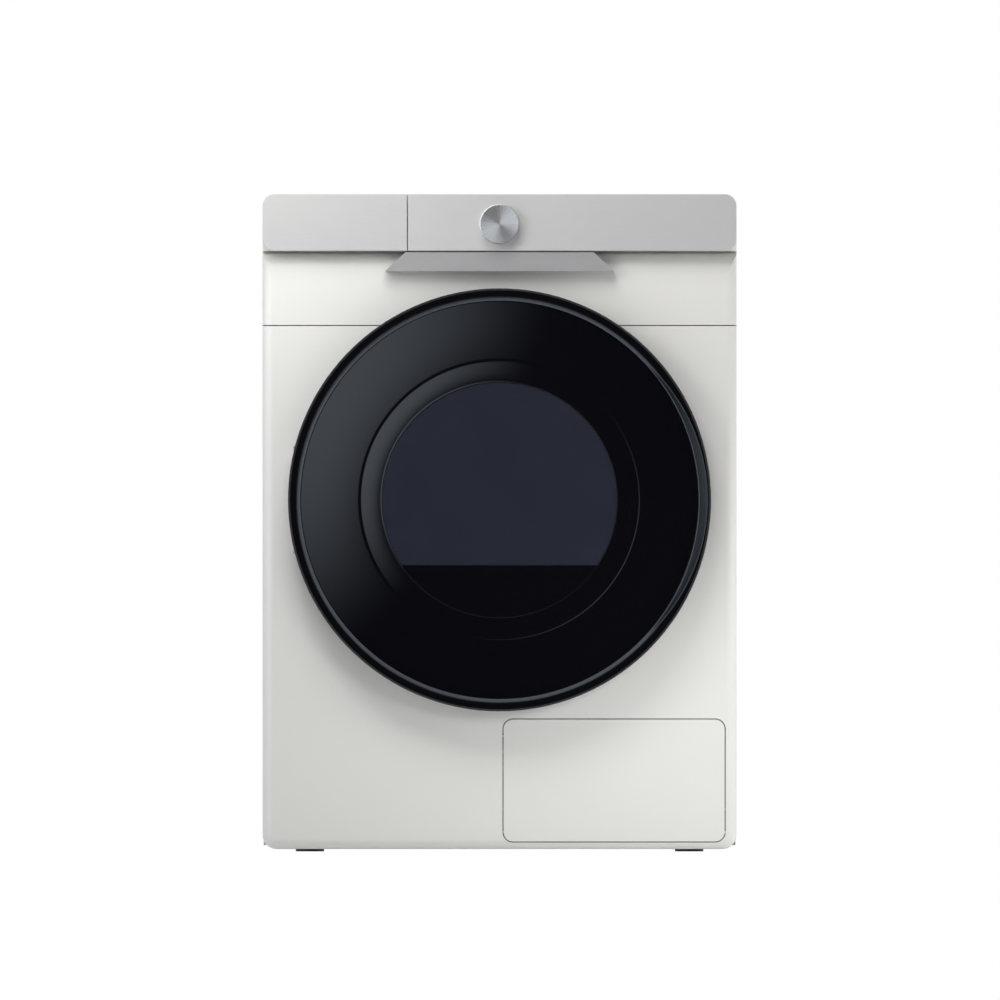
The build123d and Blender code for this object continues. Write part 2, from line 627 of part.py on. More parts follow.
def fin_block(y0, y1):
    """Aluminium fins on copper-coloured rows of tubes, with thicker end plates."""
    x0, x1 = DUCT_LEFT + DUCT_WALL + 8, DUCT_RIGHT - DUCT_WALL - 8
    z0, z1 = DUCT_BOTTOM + DUCT_WALL, DUCT_TOP - DUCT_WALL - 1
    count = 24
    pitch = (x1 - x0) / count
    plates = []
    for index in range(count + 1):
        thick = 1.6 if index in (0, count) else 0.6
        x = x0 + index * pitch
        plates.append(block(x - thick / 2, x + thick / 2, y0, y1, z0, z1))
    tubes = []
    rows = int((y1 - y0) // 28)
    for row in range(rows):
        y = y0 + (row + 0.5) * (y1 - y0) / rows
        for z in (z0 + 22, z1 - 22):
            tubes.append(rod_x(y, z, 4, x0 - 3, x1 + 3))
    return joined(tubes + plates)


def heat_exchangers():
    return fin_block(-230, -90) + fin_block(-66, 96)


def heat_exchanger_cover():
    """Inner lid over the duct's front, with a moulded rim and bores for its two latches."""
    z0, z1 = DUCT_BOTTOM, DUCT_TOP + 1.5
    lid = block(DUCT_LEFT - 3, DUCT_RIGHT + 3, -252, DUCT_FRONT, z0, z1)
    rim = block(DUCT_LEFT - 3, DUCT_RIGHT + 3, -256, -252, z0, z1)
    rim = rim - block(DUCT_LEFT + 2, DUCT_RIGHT - 2, -257, -251, z0 + 5, z1 - 5)
    for x in (110, 159, 208):
        lid = lid + block(x - 2, x + 2, -255, -252, z0 + 8, z1 - 8)
    lid = lid + rim
    for x in LATCH_X:
        lid = lid - rod_y(x, LATCH_Z, LATCH_SHAFT + RUNNING_FIT, -260, -240)
    return lid


def cover_latch(x):
    """Turn latch: grip bar outside, shaft through the lid, cam inside the duct."""
    grip = rod_y(x, LATCH_Z, 11, -257, -252.4)
    grip = grip + block(x - 3.5, x + 3.5, -262, -254, LATCH_Z - 15, LATCH_Z + 15)
    shaft = rod_y(x, LATCH_Z, LATCH_SHAFT, -253, -241)
    cam = block(x - 5, x + 5, -245, -241, LATCH_Z - 13, LATCH_Z + 13)
    return grip + shaft + cam


def compressor():
    """Small hermetic compressor: can with domed ends on a square base plate and four rubber posts."""
    can = rod_z(COMPRESSOR_X, COMPRESSOR_Y, 55, 60, 168)
    can = fillet(can.edges().filter_by(GeomType.CIRCLE), 16)
    plate = block(
        COMPRESSOR_X - 60, COMPRESSOR_X + 60, COMPRESSOR_Y - 60, COMPRESSOR_Y + 60, TRAY_TOP + 2, TRAY_TOP + 5
    )
    for x in (COMPRESSOR_X - 50, COMPRESSOR_X + 50):
        for y in (COMPRESSOR_Y - 50, COMPRESSOR_Y + 50):
            plate = plate + rod_z(x, y, 9, TRAY_FLOOR, TRAY_TOP + 3)
    skirt = rod_z(COMPRESSOR_X, COMPRESSOR_Y, 40, TRAY_TOP + 4, 70)
    cap = block(COMPRESSOR_X - 16, COMPRESSOR_X + 16, COMPRESSOR_Y - 14, COMPRESSOR_Y + 14, 166, 180)
    return can + plate + skirt + cap


def pipe_run(points, radius):
    """A bent pipe through the given points."""
    path = FilletPolyline(*points, radius=14)
    start = Plane(origin=path @ 0, z_dir=path % 0)
    return sweep(start * Circle(radius), path)


def refrigerant_pipes():
    side = COMPRESSOR_X + 55
    hot = pipe_run([(side, -105, 120), (-70, -105, 120), (-70, -60, 120), (29.9, -60, 120)], 4)
    cold = pipe_run([(side, -125, 100), (-80, -125, 100), (-80, -160, 100), (29.9, -160, 100)], 5)
    return hot + cold


def condensate_pump():
    body = block(-60, 0, -130, -70, TRAY_FLOOR, 34)
    body = body + rod_z(-30, -100, 22, 30, 62)
    return body + rod_y(-30, 24, 6, -150, -128)


# ---------------------------------------------------------------- door
def hinge_notch(front):
    """Room in the back of the door for the fixed hinge ears, open to the left."""
    return block(-300, -238, front, -270, AXIS_Z - 85, AXIS_Z + 85)


def grip_outline(inset):
    """Crescent between the trim ring and an off-centre circle."""
    circle = Pos(GRIP_CENTRE_X, AXIS_Z) * Circle(GRIP_RADIUS - inset)
    return circle - Pos(0, AXIS_Z) * Circle(TRIM_INNER + inset)


def door_ring():
    ring = turned(
        [
            (RING_INNER, RING_FRONT + 1),
            (RING_INNER + 1, RING_FRONT),
            (DOOR_RADIUS - 2.5, RING_FRONT),
            (DOOR_RADIUS, RING_FRONT + 2.5),
            (DOOR_RADIUS, DOOR_BACK - 9),
            (DOOR_RADIUS - 2.6, DOOR_BACK - 2.6),
            (DOOR_RADIUS - 9, DOOR_BACK),
            (BACK_PLATE_INNER, DOOR_BACK),
            (BACK_PLATE_INNER, DOOR_BACK - 4),
            (RING_INNER, DOOR_BACK - 4),
        ]
    )
    ring = ring - along_y(grip_outline(0), RING_FRONT - 5, GRIP_FLOOR)
    return ring - hinge_notch(RING_FRONT + 5.5)


def door_grip():
    """Trim ring and crescent finger pocket in one moulding."""
    ring = tube_y(0, AXIS_Z, TRIM_INNER, RING_INNER, TRIM_FRONT, GRIP_FLOOR)
    pocket = along_y(grip_outline(0), TRIM_FRONT, GRIP_FLOOR)
    hollow = along_y(grip_outline(GRIP_WALL), TRIM_FRONT - 5, GRIP_FLOOR - 2)
    return ring + pocket - hollow - hinge_notch(HINGE_Y - 7.3)


def door_cover():
    """Raised gloss cover: gentle cone, step ring, and a flat centre with the window cut out."""
    front = [
        (TRIM_INNER, -314.0),
        (228.0, -317.2),
        (203.0, -320.0),
        (STEP_OUTER + 2, -322.2),
        (STEP_OUTER, -320.6),
        (WINDOW_RADIUS + 3, -324.4),
        (WINDOW_RADIUS, DOOR_FRONT),
        (0, DOOR_FRONT),
    ]
    back = [(radius, y + 3.2) for radius, y in reversed(front)]
    cover = turned(front + back)
    opening = along_y(flat_sided_disc(WINDOW_RADIUS, WINDOW_FLAT), -340, -300)
    return cover - opening


def door_window():
    pane = flat_sided_disc(WINDOW_RADIUS - 0.2, WINDOW_FLAT + 0.2)
    return along_y(pane, DOOR_FRONT + 1, DOOR_FRONT + 4)


def door_inner_frame():
    """Grey liner on the door's back, which presses on the seal and holds the bowl."""
    frame = rod_y(0, AXIS_Z, 193, DOOR_BACK - 4, -270.4)
    frame = frame + rod_y(0, AXIS_Z, BACK_PLATE_INNER - 0.2, DOOR_BACK - 4, DOOR_BACK)
    return frame - along_y(flat_sided_disc(166, -81), -300, -260)


def bowl_section(y, shrink, taper):
    radius = 165.6 - shrink - taper
    chord = -80.6 + shrink + taper * 0.6
    return Plane.XZ.offset(-y) * flat_sided_disc(radius, chord)


def door_bowl():
    """See-through bowl that keeps the laundry off the window."""
    front, back = DOOR_BACK - 7, -240.0
    outer = loft([bowl_section(front, 0, 0), bowl_section(back, 0, 14)])
    inner = loft([bowl_section(front, 3.2, 0), bowl_section(back - 3.2, 3.2, 13)])
    flange = along_y(flat_sided_disc(176, -90) - flat_sided_disc(162, -77), front, DOOR_BACK - 4)
    return outer + flange - inner


def door_hinge_arms():
    """Hinge block inside the door, with the steel pin that turns in the bracket's ears."""
    arm = block(HINGE_X - 4, -222, HINGE_Y - 6, HINGE_Y + 8, AXIS_Z - 52, AXIS_Z + 52)
    arm = arm + block(-236, -216, HINGE_Y, DOOR_BACK - 4, AXIS_Z - 52, AXIS_Z + 52)
    return arm + rod_z(HINGE_X, HINGE_Y, HINGE_PIN_RADIUS, AXIS_Z - 72, AXIS_Z + 72)


def hinge_bracket():
    """Fixed bracket behind the front panel, with two ears through its slots."""
    bracket = block(-276, -234, PANEL_BACK, PANEL_BACK + 4, AXIS_Z - 84, AXIS_Z + 84)
    for side in (-1, 1):
        low = AXIS_Z + side * EAR_OFFSET - EAR_THICKNESS / 2
        high = low + EAR_THICKNESS
        ear = block(HINGE_X - 4, HINGE_X + 4, HINGE_Y, PANEL_BACK + 2, low, high)
        bracket = bracket + ear + rod_z(HINGE_X, HINGE_Y, 6, low, high)
    bore = rod_z(HINGE_X, HINGE_Y, HINGE_PIN_RADIUS + RUNNING_FIT, AXIS_Z - 100, AXIS_Z + 100)
    return bracket - bore


def door_strike():
    """Latch tongue on the door's back."""
    tongue = block(225, 231, DOOR_BACK, -266, AXIS_Z - 4, AXIS_Z + 4)
    nose = rod_z(228, -267, 4, AXIS_Z - 4, AXIS_Z + 4)
    return tongue + nose + block(220, 236, DOOR_BACK, DOOR_BACK + 1.5, AXIS_Z - 5, AXIS_Z + 5)


def door_catch():
    body = block(214, 245, PANEL_BACK, -256, AXIS_Z - 20, AXIS_Z + 20)
    return body - block(221, 238, -290, -259, AXIS_Z - 7, AXIS_Z + 7)


# ---------------------------------------------------------------- console
def console_strip(inset, x0, x1, y0, y1):
    """Part of the console band between two x positions, its end corners rounded."""
    size = Rectangle(WIDTH - 2 * inset, CONSOLE_HEIGHT - 2 * inset)
    band = Pos(0, CONSOLE_BOTTOM + CONSOLE_HEIGHT / 2) * fillet(size.vertices(), CONSOLE_CORNER - inset)
    window = Pos((x0 + x1) / 2, CONSOLE_BOTTOM + CONSOLE_HEIGHT / 2) * Rectangle(x1 - x0, 2 * CONSOLE_HEIGHT)
    return along_y(band & window, y0, y1)


def console_front(x0, x1, rear):
    """Hollow silver front: face plate with a softened edge and a rim going back."""
    outer = console_strip(0, x0, x1, CONSOLE_FRONT, rear)
    front_edges = outer.faces().sort_by(Axis.Y)[0].edges()
    outer = chamfer(front_edges, 0.8)
    return outer - console_strip(2.5, x0 + 2.5, x1 - 2.5, CONSOLE_FRONT + 3, rear + 1)


def console_fascia():
    fascia = console_front(CONSOLE_SEAM_X + SEAM_GAP / 2, HALF_WIDTH, -280)
    return fascia - rod_y(0, KNOB_Z, KNOB_SHAFT + RUNNING_FIT, -310, -290)


def tank_front():
    """Left end of the console, which is the pull front of the water tank."""
    front = console_front(-HALF_WIDTH, CONSOLE_SEAM_X - SEAM_GAP / 2, -284)
    grip = block(-245, -175, -298, -280, CONSOLE_BOTTOM - 5, CONSOLE_BOTTOM + 4)
    bridge = block(-262, -158, -300.5, -284, TANK_BOTTOM + 24, TANK_TOP)
    bridge = bridge - block(-258, -162, -299, -283, TANK_BOTTOM + 20, TANK_TOP - 3)
    return front - grip + bridge


def console_housing():
    """Black box behind the fascia that carries the board."""
    x0, x1 = CONSOLE_SEAM_X + 5, HALF_WIDTH
    outer = console_strip(2.7, x0, x1 - 2.7, -299.7, -279.2)
    housing = outer - console_strip(4.7, x0 + 2, x1 - 4.7, -301, -281.2)
    for x in (-50, 120):
        for z in (KNOB_Z - 18, KNOB_Z + 18):
            housing = housing + rod_y(x, z, 4, -290.2, -281)
    return housing


def display_board():
    board = block(-60, 130, -291.8, -290.2, KNOB_Z - 24, KNOB_Z + 24)
    encoder = tube_y(0, KNOB_Z, KNOB_SHAFT + 0.4, 8, -298, -291.8)
    board = board + encoder - rod_y(0, KNOB_Z, KNOB_SHAFT + 0.4, -300, -290)
    for index in range(4):
        x = 40 + 20 * index
        board = board + block(x - 6, x + 6, -294.5, -291.8, KNOB_Z - 6, KNOB_Z + 6)
    return board


def console_chin():
    """Trapezoid plate under the middle of the console."""
    top, bottom = CONSOLE_BOTTOM - 1.3, CONSOLE_BOTTOM - 25.4
    back = PANEL_FRONT + COVE_DEPTH
    outline = make_face(Polyline((-119, top), (119, top), (145, bottom), (-145, bottom), close=True))
    plate = along_y(outline, -300, back)
    inner = make_face(
        Polyline((-117, top - 2), (117, top - 2), (140.5, bottom + 2), (-140.5, bottom + 2), close=True)
    )
    panel = block(-400, 400, PANEL_FRONT, back + 1, bottom - 5, top + 5) - console_cove(0)
    return plate - along_y(inner, -297.5, back + 1) - panel


def knob():
    """Programme knob: dished face, soft rim, skirt and shaft."""
    body = turned(
        [
            (0, KNOB_FRONT + 1.2),
            (KNOB_RADIUS - 5, KNOB_FRONT + 0.5),
            (KNOB_RADIUS - 2.5, KNOB_FRONT),
            (KNOB_RADIUS - 0.8, KNOB_FRONT + 0.8),
            (KNOB_RADIUS, KNOB_FRONT + 3),
            (KNOB_RADIUS, -303.6),
            (KNOB_RADIUS - 2, -303.6),
            (KNOB_RADIUS - 2, -312),
            (0, -312),
        ],
        0,
        KNOB_Z,
    )
    return body + rod_y(0, KNOB_Z, KNOB_SHAFT, -313, -292.5)


# ---------------------------------------------------------------- tank, filter, flap, electrics
def water_tank():
    """Slim condensate tank with a filler in its top and a spout at the front."""
    tank = block(TANK_LEFT, TANK_RIGHT, -283.8, TANK_REAR, TANK_BOTTOM, TANK_TOP)
    tank = fillet(tank.edges().filter_by(Axis.Z), 8)
    inner = block(
        TANK_LEFT + TANK_WALL,
        TANK_RIGHT - TANK_WALL,
        -283.8 + TANK_WALL,
        TANK_REAR - TANK_WALL,
        TANK_BOTTOM + TANK_WALL,
        TANK_TOP - TANK_WALL,
    )
    filler = rod_z(-207, 110, 14, TANK_TOP - 10, TANK_TOP + 5)
    spout = rod_z(-260, -240, 10, TANK_TOP - 10, TANK_TOP + 5)
    return tank - inner - filler - spout


def tank_housing():
    """Open tray that the tank slides in, resting on the front bulkhead."""
    x0, x1 = TANK_LEFT - 4, TANK_RIGHT + 4
    tray = block(x0, x1, -272, TANK_REAR + 15, 758, TANK_TOP - 6)
    tray = tray - block(x0 + 2, x1 - 2, -280, TANK_REAR + 13, 760, TANK_TOP)
    return tray


def lint_filter():
    """Slide-in box filter, open at the top, with a pull lip on its front wall."""
    wall = FILTER_WALL
    body = block(-FILTER_HALF, FILTER_HALF, FILTER_FRONT, FILTER_REAR, FILTER_BOTTOM, FILTER_TOP)
    hollow = block(
        -FILTER_HALF + wall,
        FILTER_HALF - wall,
        FILTER_FRONT + wall,
        FILTER_REAR - wall,
        FILTER_BOTTOM + wall,
        FILTER_TOP + 1,
    )
    lip = block(-40, 40, FILTER_FRONT + 0.4, FILTER_FRONT + wall, FILTER_TOP - 1, FILTER_TOP + 10)
    return body - hollow + lip


def service_flap():
    """Painted flap with a turned-in rim and hinge pins at its lower corners."""
    size = Rectangle(FLAP_RIGHT - FLAP_LEFT, FLAP_TOP - FLAP_BOTTOM)
    centre = Pos((FLAP_LEFT + FLAP_RIGHT) / 2, (FLAP_BOTTOM + FLAP_TOP) / 2)
    outer = along_y(centre * fillet(size.vertices(), FLAP_CORNER), PANEL_FRONT, -271)
    hollow_size = Rectangle(FLAP_RIGHT - FLAP_LEFT - 4, FLAP_TOP - FLAP_BOTTOM - 4)
    hollow = along_y(centre * fillet(hollow_size.vertices(), FLAP_CORNER - 2), PANEL_FRONT + 2, -270)
    flap = outer - hollow
    for x0, x1 in ((FLAP_LEFT + 1.5, FLAP_LEFT + 16), (FLAP_RIGHT - 16, FLAP_RIGHT - 1.5)):
        flap = flap + block(x0, x1, PANEL_FRONT + 1, -272.5, FLAP_HINGE_Z - 2.5, FLAP_HINGE_Z + 8)
    flap = flap + rod_x(FLAP_HINGE_Y, FLAP_HINGE_Z, FLAP_PIN_RADIUS, 0.8, FLAP_LEFT + 12)
    flap = flap + rod_x(FLAP_HINGE_Y, FLAP_HINGE_Z, FLAP_PIN_RADIUS, FLAP_RIGHT - 12, 289.2)
    return flap


def control_box():
    box = block(110, INNER_HALF, -60, 120, 752, 796)
    return box - block(113, INNER_HALF - 3, -57, 117, 755, 793)


def cord_gland():
    """Cable gland for the mains cord."""
    nut = Pos(GLAND_X, REAR_PANEL_BACK, GLAND_Z) * Rot(-90, 0, 0) * extrude(RegularPolygon(15, 6), 7)
    gland = nut + rod_y(GLAND_X, GLAND_Z, GLAND_NECK, REAR_PANEL_FRONT - 8, REAR_PANEL_BACK)
    gland = gland + rod_y(GLAND_X, GLAND_Z, 10, REAR_PANEL_BACK + 6, REAR_PANEL_BACK + 13)
    return gland - rod_y(GLAND_X, GLAND_Z, GLAND_BORE, 280, 330)


def drain_spigot():
    """Hose spigot for draining straight to a waste pipe."""
    flange = rod_y(SPIGOT_X, SPIGOT_Z, 16, REAR_PANEL_BACK, REAR_PANEL_BACK + 3)
    neck = rod_y(SPIGOT_X, SPIGOT_Z, SPIGOT_NECK, REAR_PANEL_FRONT - 8, REAR_PANEL_BACK)
    spout = rod_y(SPIGOT_X, SPIGOT_Z, SPIGOT_RADIUS, REAR_PANEL_BACK, BULGE_REAR - 0.5)
    return flange + neck + spout - rod_y(SPIGOT_X, SPIGOT_Z, 6, 280, 330)


# ---------------------------------------------------------------- export
def all_parts():
    parts = {
        "base_tray": base_tray(),
        "left_side_panel": side_panel(-1),
        "right_side_panel": side_panel(1),
        "rear_panel": rear_panel(),
        "top_cover": top_cover(),
        "upper_front_panel": upper_front_panel(),
        "lower_front_panel": lower_front_panel(),
        "panel_screws": panel_screws(),
        "front_bulkhead": front_bulkhead(),
        "door_throat": door_throat(),
        "rear_bulkhead": rear_bulkhead(),
        "door_seal": door_seal(),
        "drum_front_felt": drum_front_felt(),
        "drum_bearing": drum_bearing(),
        "drum_shell": drum_shell(),
        "drum_rear_wall": drum_rear_wall(),
        "drum_lifters": drum_lifters(),
        "left_roller": roller(-1),
        "right_roller": roller(1),
        "motor_housing": motor_housing(),
        "motor_shaft": motor_shaft(),
        "fan_impeller": fan_impeller(),
        "drive_belt": drive_belt(),
        "idler_arm": idler_arm(),
        "idler_pulley": idler_pulley(),
        "heat_exchanger_duct": heat_exchanger_duct(),
        "heat_exchangers": heat_exchangers(),
        "heat_exchanger_cover": heat_exchanger_cover(),
        "left_cover_latch": cover_latch(LATCH_X[0]),
        "right_cover_latch": cover_latch(LATCH_X[1]),
        "compressor": compressor(),
        "refrigerant_pipes": refrigerant_pipes(),
        "condensate_pump": condensate_pump(),
        "door_ring": door_ring(),
        "door_grip": door_grip(),
        "door_cover": door_cover(),
        "door_window": door_window(),
        "door_inner_frame": door_inner_frame(),
        "door_bowl": door_bowl(),
        "door_hinge_arms": door_hinge_arms(),
        "door_strike": door_strike(),
        "door_catch": door_catch(),
        "hinge_bracket": hinge_bracket(),
        "console_fascia": console_fascia(),
        "console_housing": console_housing(),
        "console_chin": console_chin(),
        "display_board": display_board(),
        "knob": knob(),
        "tank_front": tank_front(),
        "water_tank": water_tank(),
        "tank_housing": tank_housing(),
        "lint_filter": lint_filter(),
        "service_flap": service_flap(),
        "control_box": control_box(),
        "cord_gland": cord_gland(),
        "drain_spigot": drain_spigot(),
    }
    for name, (x, y) in foot_points().items():
        parts[name] = foot(x, y)
    return parts


os.makedirs("parts", exist_ok=True)
for name, shape in all_parts().items():
    export_step(Pos(0, 0, FOOT_GAP) * shape, f"parts/{name}.step")
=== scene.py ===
import json
import math

import bpy
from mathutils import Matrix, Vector


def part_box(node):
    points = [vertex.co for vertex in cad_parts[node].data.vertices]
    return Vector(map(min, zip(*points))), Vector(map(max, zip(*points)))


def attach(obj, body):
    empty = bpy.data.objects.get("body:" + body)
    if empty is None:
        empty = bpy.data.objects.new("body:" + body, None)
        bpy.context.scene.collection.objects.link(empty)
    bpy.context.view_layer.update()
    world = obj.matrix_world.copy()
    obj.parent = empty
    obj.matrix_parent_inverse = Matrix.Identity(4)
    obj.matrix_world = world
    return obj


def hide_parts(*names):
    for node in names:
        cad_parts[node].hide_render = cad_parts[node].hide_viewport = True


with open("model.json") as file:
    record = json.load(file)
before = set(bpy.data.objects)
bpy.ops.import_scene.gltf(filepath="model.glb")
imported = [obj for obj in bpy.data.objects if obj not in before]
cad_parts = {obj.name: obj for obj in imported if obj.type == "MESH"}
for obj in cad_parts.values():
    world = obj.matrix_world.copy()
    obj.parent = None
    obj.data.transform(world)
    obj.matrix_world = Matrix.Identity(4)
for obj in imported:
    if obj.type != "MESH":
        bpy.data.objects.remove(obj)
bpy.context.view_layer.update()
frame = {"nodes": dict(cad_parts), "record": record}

# Looks for the clothes dryer. Metres. X right, Y to the back, Z up, floor at Z = 0.
NODES = frame["nodes"]
MM = 0.001

# ---------------------------------------------------------------- places taken from the frame
door_low, door_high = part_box("door_ring")
DOOR_X = (door_high.x + door_low.x) / 2
DOOR_Z = (door_high.z + door_low.z) / 2
DOOR_CENTRE = (DOOR_X, 0, DOOR_Z)
cover_low, cover_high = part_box("door_cover")
COVER_RADIUS = (cover_high.x - cover_low.x) / 2
COVER_FRONT = cover_low.y
window_low, window_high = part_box("door_window")
knob_low, knob_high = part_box("knob")
KNOB_RADIUS = (knob_high.x - knob_low.x) / 2
KNOB_Z = (knob_high.z + knob_low.z) / 2
FASCIA_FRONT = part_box("console_fascia")[0].y
drum_low, drum_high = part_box("drum_shell")
filter_low, filter_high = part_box("lint_filter")

# ---------------------------------------------------------------- sizes chosen here
# The cover's opening stands this far clear of the CAD window.
# Its flat side is given as a height from the door's centre, below it and so negative.
OPENING_ROOM = 0.2 * MM
OPENING_RADIUS = (window_high.x - window_low.x) / 2 + OPENING_ROOM
OPENING_FLAT = window_low.z - DOOR_Z - OPENING_ROOM

# The step between the cover's cone and its raised centre, which no box gives, and the cover's
# thickness round the opening
STEP_RADIUS = 176.6 * MM
COVER_THICKNESS = 3.2 * MM

# Steps round a turned piece, and how far an outline stays from the axis so that no face collapses
TURN_STEPS = 288
KNOB_STEPS = 128
AXIS_GAP = 0.01 * MM

# The view: its width, its centre and how far away the camera stands
VIEW_WIDTH = 1.2658
VIEW_X = 0.6 * MM
VIEW_Z = DOOR_Z - 0.2 * MM
VIEW_DISTANCE = 4.0

# Radiance of the room: the backdrop that the camera sees, then the sides and the front as the matt
# surfaces see them, and the same with a bright patch as the reflections see them
BACKDROP = (1.0, 1.0, 1.0)
SIDE_LIGHT = (0.92, 0.92, 0.93)
FRONT_LIGHT = (0.10, 0.10, 0.10)
MIRRORED_SIDES = (0.70, 0.71, 0.72)
MIRRORED_FRONT = (0.040, 0.040, 0.052)
MIRRORED_PATCH = (1.36, 1.52, 1.75)

# Where the front and the patch begin and are complete, as the cosine of the angle from their middle
FRONT_LIGHT_REACH = (0.0, 0.6)
MIRRORED_FRONT_REACH = (0.45, 0.88)
MIRRORED_PATCH_REACH = (0.78, 0.935)

# The middle of the bright patch: its angle from straight in front, and its turn round that direction
PATCH_ASIDE = math.radians(40)
PATCH_TURN = math.radians(150)

# Most of a noise texture's values lie between these two
NOISE_LOW = 0.3
NOISE_HIGH = 0.7

# Blender's wave texture turns through this many radians in each unit of its scaled coordinates
WAVE_RADIANS = 20


# ---------------------------------------------------------------- material kit
def new_material(name, colour, roughness, metallic=0.0):
    """A plain material and its shader, which the patterns are then linked to."""
    material = bpy.data.materials.new(name)
    material.use_nodes = True
    shader = material.node_tree.nodes["Principled BSDF"]
    shader.inputs["Base Color"].default_value = (*colour, 1.0)
    shader.inputs["Roughness"].default_value = roughness
    shader.inputs["Metallic"].default_value = metallic
    return material, shader


def stretched_coordinates(material, stretch=(1, 1, 1)):
    """Object coordinates in metres, scaled so that a noise runs along an axis."""
    nodes, links = material.node_tree.nodes, material.node_tree.links
    coordinates = nodes.new("ShaderNodeTexCoord")
    mapping = nodes.new("ShaderNodeMapping")
    mapping.inputs["Scale"].default_value = stretch
    links.new(coordinates.outputs["Object"], mapping.inputs["Vector"])
    return mapping.outputs["Vector"]


def noise(material, size, stretch=(1, 1, 1), detail=3.0):
    """Noise whose features are about size metres across."""
    nodes, links = material.node_tree.nodes, material.node_tree.links
    texture = nodes.new("ShaderNodeTexNoise")
    texture.inputs["Scale"].default_value = 1.0 / size
    texture.inputs["Detail"].default_value = detail
    links.new(stretched_coordinates(material, stretch), texture.inputs["Vector"])
    return texture.outputs["Fac"]


def noise_along(material, value, scale, detail):
    """Noise along a single value, such as a distance or an angle."""
    nodes, links = material.node_tree.nodes, material.node_tree.links
    texture = nodes.new("ShaderNodeTexNoise")
    texture.noise_dimensions = "1D"
    texture.inputs["Scale"].default_value = scale
    texture.inputs["Detail"].default_value = detail
    links.new(value, texture.inputs["W"])
    return texture.outputs["Fac"]


def ramp(material, value, low, high):
    """Map a pattern's usual values to the range low to high."""
    nodes, links = material.node_tree.nodes, material.node_tree.links
    node = nodes.new("ShaderNodeMapRange")
    node.inputs["From Min"].default_value = NOISE_LOW
    node.inputs["From Max"].default_value = NOISE_HIGH
    node.inputs["To Min"].default_value = low
    node.inputs["To Max"].default_value = high
    links.new(value, node.inputs["Value"])
    return node.outputs["Result"]


def vary_colour(material, shader, value, amount):
    """Darken and lighten the base colour by up to amount, a share of the colour."""
    nodes, links = material.node_tree.nodes, material.node_tree.links
    colour = tuple(shader.inputs["Base Color"].default_value)[:3]
    mix = nodes.new("ShaderNodeMix")
    mix.data_type = "RGBA"
    mix.inputs["A"].default_value = (*[c * (1 - amount) for c in colour], 1.0)
    mix.inputs["B"].default_value = (*[min(1.0, c * (1 + amount)) for c in colour], 1.0)
    links.new(ramp(material, value, 0.0, 1.0), mix.inputs["Factor"])
    links.new(mix.outputs["Result"], shader.inputs["Base Color"])


def vary_roughness(material, shader, value, amount):
    """Lower and raise the roughness by up to amount."""
    middle = shader.inputs["Roughness"].default_value
    spread = ramp(material, value, max(0.0, middle - amount), middle + amount)
    material.node_tree.links.new(spread, shader.inputs["Roughness"])


def add_bump(material, shader, value, height):
    """Raise the surface by height metres where value is 1."""
    nodes, links = material.node_tree.nodes, material.node_tree.links
    bump = nodes.new("ShaderNodeBump")
    bump.inputs["Strength"].default_value = 1.0
    bump.inputs["Distance"].default_value = height
    links.new(value, bump.inputs["Height"])
    links.new(bump.outputs["Normal"], shader.inputs["Normal"])


def round_the_axis(material):
    """Distance from the piece's own Y axis, and the angle round it."""
    nodes, links = material.node_tree.nodes, material.node_tree.links
    coordinates = nodes.new("ShaderNodeTexCoord")
    split = nodes.new("ShaderNodeSeparateXYZ")
    links.new(coordinates.outputs["Object"], split.inputs["Vector"])
    flat = nodes.new("ShaderNodeCombineXYZ")
    links.new(split.outputs["X"], flat.inputs["X"])
    links.new(split.outputs["Z"], flat.inputs["Y"])
    length = nodes.new("ShaderNodeVectorMath")
    length.operation = "LENGTH"
    links.new(flat.outputs["Vector"], length.inputs[0])
    angle = nodes.new("ShaderNodeMath")
    angle.operation = "ARCTAN2"
    links.new(split.outputs["Z"], angle.inputs[0])
    links.new(split.outputs["X"], angle.inputs[1])
    return length.outputs["Value"], angle.outputs["Value"]


def stretch_glints_round(material, shader, strength, rotation):
    """Reflections drawn out by grooves that run round the piece's own Y axis."""
    nodes, links = material.node_tree.nodes, material.node_tree.links
    shader.inputs["Anisotropic"].default_value = strength
    shader.inputs["Anisotropic Rotation"].default_value = rotation
    tangent = nodes.new("ShaderNodeTangent")
    tangent.direction_type = "RADIAL"
    tangent.axis = "Y"
    links.new(tangent.outputs["Tangent"], shader.inputs["Tangent"])


# ---------------------------------------------------------------- materials
def white_enamel():
    """Gloss enamel: fine orange peel and a clear top coat."""
    material, shader = new_material("white_enamel", (0.80, 0.795, 0.765), roughness=0.34)
    shader.inputs["Coat Weight"].default_value = 0.35
    shader.inputs["Coat Roughness"].default_value = 0.12
    add_bump(material, shader, noise(material, 2.2 * MM), height=0.006 * MM)
    vary_colour(material, shader, noise(material, 0.25), amount=0.006)
    vary_roughness(material, shader, noise(material, 12 * MM), amount=0.03)
    return material


def brushed_silver(name, colour, roughness):
    """Satin silver paint with fine brushing along X."""
    material, shader = new_material(name, colour, roughness, metallic=0.35)
    brushing = noise(material, 0.35 * MM, stretch=(0.02, 1, 1), detail=2.0)
    add_bump(material, shader, brushing, height=0.004 * MM)
    vary_colour(material, shader, brushing, amount=0.02)
    vary_roughness(material, shader, noise(material, 6 * MM, stretch=(0.1, 1, 1)), amount=0.025)
    return material


